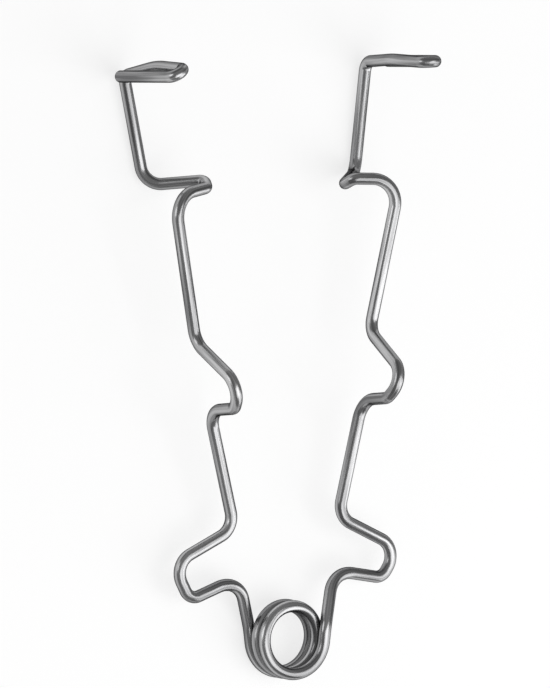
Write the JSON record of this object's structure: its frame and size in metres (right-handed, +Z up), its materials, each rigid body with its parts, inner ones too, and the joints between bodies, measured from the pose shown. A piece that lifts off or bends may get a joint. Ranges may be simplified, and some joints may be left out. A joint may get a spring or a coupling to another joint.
{
  "type": "eye speculum",
  "caption": "Self-retaining wire eye speculum: one bent spring wire with a coil, finger bends, humped arms and two open-loop blades that hold the eyelids apart.",
  "frame": {"origin": "middle of the underside of the box round the whole wire, on the surface that it lies on", "axes": "+Z up, +Y from the coil to the blades, X across the spread of the arms. It lies on the back turn of the coil and on the two posts, with the blades standing up."},
  "size_m": [0.0408, 0.0764, 0.0151],
  "materials": {
    "spring_wire": "polished stainless spring steel wire, clean, no wear"
  },
  "bodies": {
    "root": {"spring_wire": "spring_wire"}
  },
  "joints": []
}
